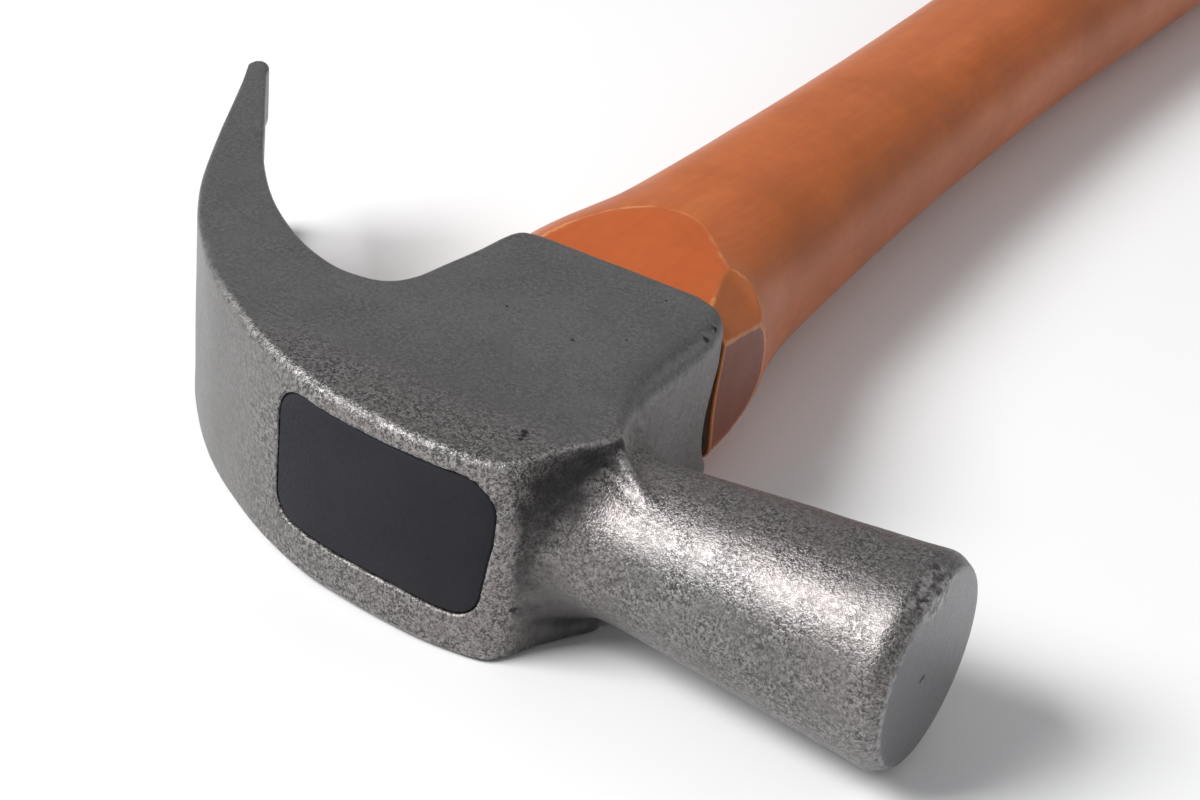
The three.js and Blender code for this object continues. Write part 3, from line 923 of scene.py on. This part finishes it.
def steel_material():
    m = Nodes("forged_steel")
    x, y, z = m.axes()
    bend = m.attribute("bend")
    fine = m.ramp(m.noise(3700, 1.0, 0.5), 0.38, 0.62)
    coarse = m.ramp(m.noise(1700, 2.0, 0.6), 0.36, 0.64)
    root = m.attribute("root")
    cloud = m.noise(70, 3.0, 0.6)
    drift = m.noise(24, 2.0, 0.5)
    # where the shot-blasted grain is open: the head top, the neck and the
    # cheek next to the head top
    front = m.math("MULTIPLY", m.ramp(y, oy(12), oy(1)), m.ramp(x, ox(-30), ox(-13)))
    neck = m.ramp(x, ox(21), ox(27))
    face = m.ramp(x, ox(66.6), ox(66.8))
    open_grain = m.math("MULTIPLY", m.math("MAXIMUM", front, neck), m.math("SUBTRACT", 1.0, face))
    open_grain = m.math("MULTIPLY", open_grain, m.ramp(cloud, 0.2, 0.6, 0.7, 1.0))
    cheek = m.ramp(m.math("ABSOLUTE", m.math("SUBTRACT", z, float(to_row([0, 0, 0])[2]))), 0.0134, 0.0140)
    level = m.math("MULTIPLY", open_grain, m.ramp(cheek, 0, 1, 1.0, 1.2))
    level = m.math("ADD", level, 0.40)
    level = m.math("MULTIPLY", level, m.ramp(neck, 0, 1, 1.0, 0.72))
    # smoother and calmer low down beside the root of the neck, and darker there: painted shade under the neck
    calm = m.math("MULTIPLY", m.ramp(z, oz(-1), oz(-9)), m.ramp(x, ox(40), ox(30)))
    calm = m.math("MULTIPLY", calm, m.ramp(x, ox(20.0), ox(22.5)))
    level = m.math("MULTIPLY", level, m.ramp(calm, 0, 1, 1.0, 0.45))
    # and darker on the side of the block below the dark scale: painted shade where that side faces away from the light
    recess_shade = m.math("MULTIPLY", m.ramp(x, ox(18.9), ox(20.3)), m.ramp(x, ox(27.0), ox(22.5)))
    recess_shade = m.math("MULTIPLY", recess_shade, m.math("MULTIPLY", m.ramp(z, oz(4), oz(-3)), m.ramp(y, oy(20), oy(14))))
    level = m.math("MULTIPLY", level, m.ramp(recess_shade, 0, 1, 1.0, 0.6))
    top_edge = m.math("MULTIPLY", m.ramp(bend, 0.32, 0.92), m.ramp(y, oy(16), oy(6)))
    level = m.math("ADD", level, m.math("MULTIPLY", top_edge, 0.8))
    level = m.math("MULTIPLY", level, m.ramp(m.noise(240, 3.0, 0.6), 0.3, 0.7, 0.55, 1.25))
    broken = m.ramp(m.noise(900, 3.0, 0.65), 0.38, 0.62)
    # edges rubbed bright: partly wear, partly a painted highlight
    wear_and_highlight = m.math("MULTIPLY", m.ramp(bend, 0.5, 1.1), broken)
    wear_and_highlight = m.math("MULTIPLY", wear_and_highlight, m.ramp(y, oy(24), oy(9), 0.35, 1.0))
    tone = m.mix(m.ramp(cloud, 0.3, 0.7), (0.174, 0.170, 0.166), (0.212, 0.208, 0.204))
    tone = m.mix(m.math("MULTIPLY", m.ramp(drift, 0.4, 0.65), open_grain), tone, (0.232, 0.203, 0.199))
    tone = m.mix(m.math("MULTIPLY", m.math("MULTIPLY", fine, coarse), level), tone, (0.34, 0.325, 0.32))
    dark = m.math("MULTIPLY", m.math("SUBTRACT", 1.0, fine), m.math("SUBTRACT", 1.0, coarse))
    tone = m.mix(m.math("MULTIPLY", dark, level), tone, (0.085, 0.081, 0.080))
    # painted shade low down beside the neck
    tone = m.mix(m.math("MULTIPLY", calm, 0.5), tone, (0.150, 0.147, 0.146))
    # painted shade on the side of the block
    tone = m.mix(m.math("MULTIPLY", recess_shade, 0.6), tone, (0.088, 0.086, 0.086))
    # painted shade: the side wall by the skirt made darker, as it faces away from the light
    skirt = m.math("MULTIPLY", m.ramp(x, ox(15), ox(19)), m.ramp(y, oy(20), oy(26)))
    tone = m.mix(m.math("MULTIPLY", skirt, 0.22), tone, (0.095, 0.095, 0.100))
    tone = m.mix(face, tone, (0.235, 0.235, 0.242))
    # rubbed-bright edges: wear together with painted highlight
    tone = m.mix(m.math("MULTIPLY", wear_and_highlight, 0.37), tone, (0.50, 0.49, 0.48))
    # dark scale together with painted shade beside the root of the neck, from the root attribute
    patchy = m.math("MULTIPLY", m.math("SUBTRACT", m.noise(420, 3.0, 0.65), 0.5), 0.9)
    scale = m.ramp(m.math("ADD", root, patchy), 0.22, 0.85)
    tone = m.mix(m.math("MULTIPLY", scale, 0.85), tone, (0.035, 0.034, 0.034))
    rough = m.ramp(fine, 0.0, 1.0, 0.38, 0.46)
    rough = m.math("ADD", rough, m.math("MULTIPLY", neck, 0.026))
    rough = m.math("ADD", rough, m.math("MULTIPLY", m.math("MULTIPLY", top_edge, m.math("SUBTRACT", 1.0, broken)), 0.22))
    rough = m.math("SUBTRACT", rough, m.math("MULTIPLY", face, 0.06))
    rough = m.math("ADD", rough, m.math("MULTIPLY", scale, 0.15))
    rough = m.math("ADD", rough, m.math("MULTIPLY", top_edge, 0.05))
    height = m.math("ADD", fine, m.math("MULTIPLY", coarse, 0.9))
    height = m.math("MULTIPLY", height, level)
    nick = m.math("ADD", m.near((66.4, 12.6, 12.6)), m.math("MULTIPLY", m.math("SUBTRACT", cloud, 0.5), 0.004))
    nick = m.math("MULTIPLY", m.ramp(nick, 0.0048, 0.0030), m.ramp(x, ox(64.4), ox(65.0)))
    patch = m.ramp(m.noise(980, 3.0, 0.6), 0.40, 0.60)
    tone = m.mix(m.math("MULTIPLY", nick, m.math("MULTIPLY", patch, 0.75)), tone, (0.055, 0.052, 0.051))
    tone = m.mix(m.math("MULTIPLY", nick, m.math("MULTIPLY", m.math("SUBTRACT", 1.0, patch), 0.4)), tone, (0.50, 0.49, 0.48))
    height = m.math("ADD", height, m.math("MULTIPLY", m.math("MULTIPLY", nick, patch), -2.5))
    pits = 0.0
    for place, radius in PITS:
        place = project(head_field, np.array([place], float), 12)[0]
        wobble = m.math("MULTIPLY", m.math("SUBTRACT", coarse, 0.5), 0.0002)
        pit = m.ramp(m.math("ADD", m.near(place), wobble), radius * 1.3e-3, radius * 0.5e-3)
        pits = m.math("MAXIMUM", pit, pits)
    tone = m.mix(m.math("MULTIPLY", pits, 0.9), tone, (0.02, 0.02, 0.02))
    height = m.math("SUBTRACT", height, m.math("MULTIPLY", pits, 4.0))
    normal = m.bump(height, 0.000022)
    normal = m.bump(m.noise(520, 2.0, 0.5), 0.00005, 1.0, normal)
    m.set(Base_Color=tone, Roughness=rough, Normal=normal, Metallic=0.9)
    return m.mat


def wood_material():
    m = Nodes("lacquered_wood")
    x, y, z = m.axes()
    edge = m.attribute("edge")
    end = m.attribute("end")
    wavy = m.tree.nodes.new("ShaderNodeVectorMath")
    wavy.operation = "ADD"
    shift = m.tree.nodes.new("ShaderNodeCombineXYZ")
    m.put(shift.inputs[0], m.math("MULTIPLY", m.noise(14, 2.0), 0.006))
    m.put(shift.inputs[2], m.math("MULTIPLY", m.noise(11, 2.0), 0.005))
    m.put(wavy.inputs[0], m.coord)
    m.put(wavy.inputs[1], shift.outputs[0])
    bands = m.noise(1.0, 3.0, 0.55, m.scaled(150, 14, 130, wavy.outputs[0]))
    fibre = m.noise(1.0, 3.0, 0.6, m.scaled(1300, 70, 1300, wavy.outputs[0]))
    mottle = m.noise(48, 4.0, 0.6)
    patch = m.noise(17, 2.0, 0.5)
    tone = m.mix(m.ramp(bands, 0.25, 0.75), (0.455, 0.095, 0.012), (0.515, 0.124, 0.018))
    tone = m.mix(m.ramp(fibre, 0.35, 0.8, 0, 0.26), tone, (0.60, 0.18, 0.035))
    tone = m.mix(m.ramp(mottle, 0.42, 0.72, 0, 0.55), tone, (0.30, 0.075, 0.014))
    tone = m.mix(m.ramp(patch, 0.5, 0.75, 0, 0.30), tone, (0.33, 0.092, 0.020))
    cheek_flat = m.attribute("cheek_flat")
    tone = m.mix(m.math("MULTIPLY", cheek_flat, 0.5), tone, (0.50, 0.078, 0.006))
    tone = m.mix(m.math("MULTIPLY", m.attribute("corner_flat"), 0.4), tone, (0.56, 0.145, 0.018))
    # side flats darker, most on the face side: painted shade
    tone = m.mix(m.math("MULTIPLY", m.attribute("side_flat_shade"), m.ramp(x, ox(-2), ox(2), 0.25, 0.85)), tone, (0.130, 0.018, 0.006))
    speckle = m.ramp(m.noise(420, 3.0, 0.6), 0.3, 0.7)
    tone = m.mix(m.math("MULTIPLY", speckle, 0.15), tone, (0.27, 0.060, 0.010))
    # pale lines along the edges of the flats: painted highlight
    tone = m.mix(m.math("MULTIPLY", m.ramp(edge, 0.2, 0.85), 0.72), tone, (0.68, 0.26, 0.095))
    rings = m.noise(1.0, 3.0, 0.6, m.scaled(900, 60, 420, wavy.outputs[0]))
    endgrain = m.mix(m.ramp(rings, 0.35, 0.65), (0.20, 0.05, 0.016), (0.36, 0.11, 0.036))
    tone = m.mix(m.ramp(end, 0.0, 1.0), tone, endgrain)
    tone = m.mix(m.ramp(end, 1.1, 1.8), tone, (0.40, 0.34, 0.29))
    rough = m.ramp(mottle, 0.3, 0.7, 0.40, 0.52)
    height = m.math("ADD", m.math("MULTIPLY", fibre, 0.35), m.noise(330, 2.0))
    normal = m.bump(height, 0.00006)
    m.set(
        Base_Color=tone, Roughness=rough, Normal=normal,
        Coat_Weight=0.18, Coat_Roughness=0.3, Sheen_Weight=0.05, Sheen_Roughness=0.35, IOR=1.42,
    )
    m.shader.inputs["Specular IOR Level"].default_value = 0.38
    return m.mat


def seal_material():
    m = Nodes("charcoal_seal")
    grain = m.noise(1900, 2.0, 0.6)
    tone = m.mix(m.ramp(m.noise(90, 3.0), 0.3, 0.7), (0.0195, 0.0197, 0.0240), (0.0225, 0.0228, 0.0275))
    # lighter rolled edge: painted highlight
    tone = m.mix(m.math("MULTIPLY", m.attribute("rim_highlight"), 0.3), tone, (0.035, 0.036, 0.041))
    m.set(
        Base_Color=tone, Roughness=m.ramp(grain, 0.3, 0.7, 0.55, 0.68),
        Normal=m.bump(grain, 0.00003),
    )
    m.shader.inputs["Specular IOR Level"].default_value = 0.12
    return m.mat


def wedge_wood_material():
    m = Nodes("wedge_wood")
    fibre = m.noise(1.0, 3.0, 0.6, m.scaled(1300, 60, 1300))
    tone = m.mix(m.ramp(fibre, 0.3, 0.7), (0.42, 0.27, 0.13), (0.60, 0.43, 0.24))
    m.set(Base_Color=tone, Roughness=m.ramp(fibre, 0.3, 0.7, 0.6, 0.75), Normal=m.bump(fibre, 0.00006))
    return m.mat


def wedge_steel_material():
    m = Nodes("wedge_steel")
    lines = m.noise(1.0, 2.0, 0.5, m.scaled(2500, 200, 400))
    tone = m.mix(m.ramp(lines, 0.3, 0.7), (0.30, 0.30, 0.30), (0.42, 0.42, 0.42))
    m.set(Base_Color=tone, Metallic=1.0, Roughness=m.ramp(lines, 0.3, 0.7, 0.35, 0.5), Normal=m.bump(lines, 0.00003))
    return m.mat


def wear(obj, material):
    obj.data.materials.clear()
    obj.data.materials.append(material)


wear(head, steel_material())
wear(handle, wood_material())
wear(seal, seal_material())
for node, material in (
    ("wood_wedge", wedge_wood_material()),
    ("steel_wedge_front", wedge_steel_material()),
):
    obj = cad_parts[node]
    for slot in obj.material_slots:
        slot.material = material
    if not obj.material_slots:
        obj.data.materials.append(material)
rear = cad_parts["steel_wedge_rear"]
for slot in rear.material_slots:
    slot.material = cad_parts["steel_wedge_front"].material_slots[0].material


# ------------------------------------------------------------ floor and light
def add_floor():
    mesh = bpy.data.meshes.new("floor")
    s, z = 4.0, cad_box[0][2] - 0.0001
    mesh.from_pydata([(-s, -s, z), (s, -s, z), (s, s, z), (-s, s, z)], [], [(0, 1, 2, 3)])
    floor = bpy.data.objects.new("floor", mesh)
    bpy.context.scene.collection.objects.link(floor)
    m = Nodes("floor_paper")
    tone = m.mix(m.noise(9, 3.0), (0.92, 0.92, 0.92), (0.94, 0.94, 0.94))
    m.set(Base_Color=tone, Roughness=0.9)
    m.shader.inputs["Specular IOR Level"].default_value = 0.1
    mesh.materials.append(m.mat)


def add_light(name, direction, distance, size, power, color=(1, 1, 1)):
    data = bpy.data.lights.new(name, "AREA")
    data.shape = "RECTANGLE"
    data.size, data.size_y = size
    data.energy = power
    data.color = color
    obj = bpy.data.objects.new(name, data)
    bpy.context.scene.collection.objects.link(obj)
    d = Vector(direction).normalized()
    obj.location = Vector(tuple(to_row([0, 25, 0]))) + d * distance
    obj.rotation_euler = d.to_track_quat("Z", "Y").to_euler()
    return obj


add_floor()
add_light("key", (-0.49, -0.51, 0.70), 1.3, (0.62, 0.62), 20.3)
add_light("back_panel", (-0.41, 0.75, 0.52), 2.4, (2.2, 1.6), 2.2)
add_light("side_panel", (0.62, 0.52, 0.58), 1.8, (1.1, 1.1), 3.7)

world = bpy.data.worlds.new("studio")
bpy.context.scene.world = world
world.use_nodes = True
world.node_tree.nodes["Background"].inputs[0].default_value = (0.80, 0.81, 0.83, 1)
world.node_tree.nodes["Background"].inputs[1].default_value = 0.35
bpy.context.scene.view_settings.view_transform = "Standard"
